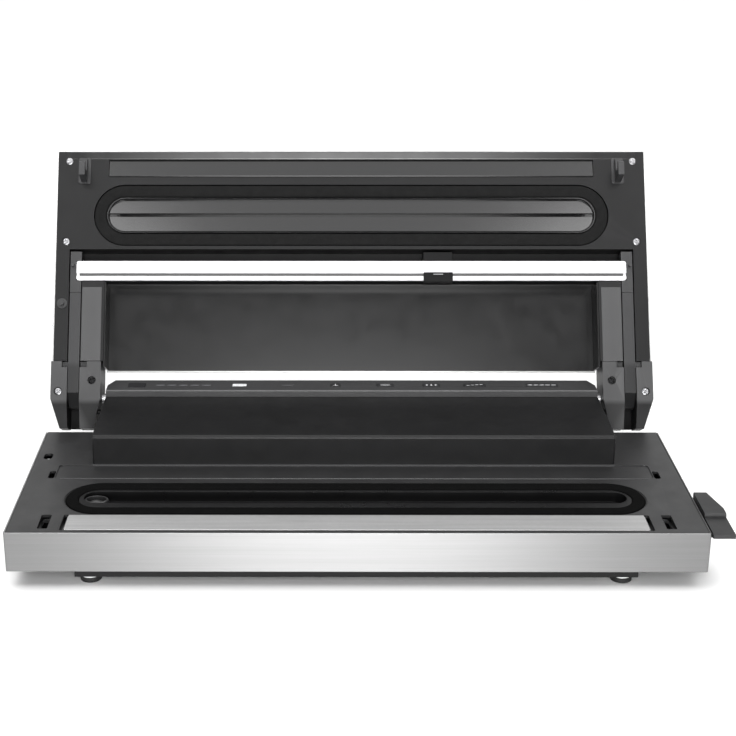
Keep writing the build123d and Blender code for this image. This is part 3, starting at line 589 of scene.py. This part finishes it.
# the two inner heads, at the bottom of their bores, get a dark steel as painted shade of the bores
hinge_heads.data.materials.append(looks["bore_shaded_screw"])
for face in hinge_heads.data.polygons[len(hinge_heads.data.polygons) // 2:]:
    face.material_index = 1

# bead in front of the rail's seat, foot flange of the cover, and a dark strip laid on the floor of
# the rail's groove as painted shade
extruded(
    "rail_seat_bead", base_point, -222.0, 222.0, 89.2,
    [(-0.8, -0.1), (-0.5, 0.45), (0.5, 0.45), (0.8, -0.1)],
    "deck", "base", slot="black_shell", smooth=False,
)
# the flange takes the paler rib plastic as a painted highlight along the cover's foot
extruded(
    "cover_foot_flange", base_point, -200.6, 200.6, 113.4,
    [(-0.5, -0.8), (-0.5, 0.35), (0.4, 0.5), (0.4, -0.8)],
    "ribs", "base", slot="black_shell", smooth=False,
)
extruded(
    "rail_groove_painted_shade", lid_point, -224.0, 224.0, 105.25,
    [(-1.2, 3.45), (-1.2, 3.3), (1.2, 3.3), (1.2, 3.45)],
    "groove", "cutter", slot="rail_metal", smooth=False,
)


def oval_dome(name, x, y, half_x, half_y, low, high, look, body, slot, rings=8, count=48):
    """A low oval dome on the deck side, for the port's splash cap."""
    verts = [base_point(x, y, high)]
    faces = []
    for i in range(1, rings + 1):
        r = i / rings
        h = low + (high - low) * math.sqrt(max(0.0, 1 - r * r))
        for j in range(count):
            a = 2 * math.pi * j / count
            verts.append(base_point(x + half_x * r * math.cos(a), y + half_y * r * math.sin(a), h))
    for j in range(count):
        k = (j + 1) % count
        faces.append((0, 1 + j, 1 + k))
        for i in range(rings - 1):
            near, far = 1 + i * count, 1 + (i + 1) * count
            faces.append((near + j, far + j, far + k, near + k))
    faces.append(tuple(1 + (rings - 1) * count + j for j in range(count)))
    return piece(name, verts, faces, look, body, slot=slot)


oval_dome("port_splash_cap", -190.0, 57.7, 6.4, 4.1, -6.4, -2.9, "port", "base", "black_parts")


INK_LOW, INK_HIGH = 0.01, 0.06  # the print's underside and top over its surface


def marks(name, spots, look, body, height):
    """Thin printed bars, each (x, y, length, depth)."""
    verts, faces = [], []
    for x, y, length, deep in spots:
        first = len(verts)
        for h in (height + INK_LOW, height + INK_HIGH):
            for sx, sy in ((-1, -1), (1, -1), (1, 1), (-1, 1)):
                verts.append(base_point(x + sx * length / 2, y + sy * deep / 2, h))
        faces.append(tuple(first + i for i in (0, 1, 2, 3)))
        faces.append(tuple(first + i for i in (4, 5, 6, 7)))
        for i in range(4):
            k = (i + 1) % 4
            faces.append((first + i, first + k, first + 4 + k, first + 4 + i))
    return piece(name, verts, faces, look, body, slot="light_shell")


PANEL_TOP = 30.0
KEY_TOP = 30.3
KEY_Y = 204.5
dashes = [(-156.5 + 9.4 * i, KEY_Y, 7.2, 2.6) for i in range(5)]
marks("panel_dashes", dashes, "faint_print", "base", PANEL_TOP)
marks("panel_tick", [(-52.0, KEY_Y, 9.0, 1.4)], "faint_print", "base", PANEL_TOP)
icons = {
    "power": [(-12.9, KEY_Y + 0.6, 0.9, 3.2), (-12.9, KEY_Y - 1.4, 4.2, 0.7)],
    "seal": [(27.8, KEY_Y + 1.0, 8.0, 0.8), (27.8, KEY_Y - 1.0, 8.0, 0.8)],
    "vacuum": [(65.5 + dx, KEY_Y, 1.6, 3.0) for dx in (-3.6, 0, 3.6)],
    "pulse": [(101.0 + dx, KEY_Y + dx / 6, 2.6, 1.1) for dx in (-5.4, -1.8, 1.8, 5.4)],
    "mode": [(156.0 + dx, KEY_Y, 3.8, 1.6) for dx in (-9.6, -4.8, 0, 4.8, 9.6)],
}
for key, spots in icons.items():
    marks(f"key_icon_{key}", spots, "print", f"{key}_key", KEY_TOP)

# ------------------------------------------------------------------ camera, floor and light
CAMERA_PLACE = base_point(-27.13, -922.23, 477.81)
LOOKING_DOWN = 20.644
LEAN, TURN = 0.064, 0.251
camera = bpy.data.objects.new("camera", bpy.data.cameras.new("camera"))
scene.collection.objects.link(camera)
scene.camera = camera
camera.data.sensor_width = 36.0
camera.data.lens = 72.33
camera.data.shift_x = 0.0767
camera.data.shift_y = -0.0129
camera.data.clip_start = 0.05
camera.data.clip_end = 60
camera.location = CAMERA_PLACE
camera.rotation_euler = (math.radians(90 - LOOKING_DOWN), math.radians(LEAN), math.radians(TURN))

floor_mesh = bpy.data.meshes.new("floor")
FLOOR_REACH = 14.0
floor_mesh.from_pydata(
    [(sx * FLOOR_REACH, sy * FLOOR_REACH, 0) for sx, sy in ((-1, -1), (1, -1), (1, 1), (-1, 1))],
    [],
    [(0, 1, 2, 3)],
)
floor_mesh.materials.append(plain_floor("floor"))
floor = bpy.data.objects.new("floor", floor_mesh)
scene.collection.objects.link(floor)


def softbox(name, place, aim, size, power):
    """A rectangular studio light in metres and watts, turned to face its aim."""
    data = bpy.data.lights.new(name, "AREA")
    data.shape = "RECTANGLE"
    data.size, data.size_y = size
    data.energy = power
    obj = bpy.data.objects.new(name, data)
    obj.location = place
    obj.rotation_mode = "QUATERNION"
    obj.rotation_quaternion = (Vector(aim) - Vector(place)).to_track_quat("-Z", "Y")
    scene.collection.objects.link(obj)


# name, place, aim, size, power
softboxes = (
    ("front_box", (0.02, -1.9, 0.95), (0, 0.0, 0.15), (0.75, 1.0), 18),
    ("low_box", (0.045, -2.6, 0.35), (0.045, 0, 0.1), (0.85, 0.5), 38),
    ("left_box", (-0.62, -0.87, 1.49), (0, 0.05, 0.18), (0.56, 0.5), 5),
    ("right_box", (0.66, -0.87, 1.49), (0, 0.05, 0.18), (0.56, 0.5), 5),
    ("back_box", (0.0, 2.6, 1.4), (0, 0, 0.05), (4.2, 1.6), 18),
    ("top_box", (0.0, 0.2, 2.4), (0, 0, 0), (2.6, 2.0), 8),
)
for box in softboxes:
    softbox(*box)

SUN_STRENGTH = 2.7
SUN_SPREAD = 80
SKY_STRENGTH = 0.16
overhead = bpy.data.objects.new("overhead", bpy.data.lights.new("overhead", "SUN"))
overhead.data.energy = SUN_STRENGTH
overhead.data.angle = math.radians(SUN_SPREAD)
scene.collection.objects.link(overhead)

world = bpy.data.worlds.new("studio")
scene.world = world
world.use_nodes = True
sky = world.node_tree.nodes["Background"]
sky.inputs["Color"].default_value = (1, 1, 1, 1)
sky.inputs["Strength"].default_value = SKY_STRENGTH
scene.view_settings.view_transform = "Standard"
scene.view_settings.look = "None"
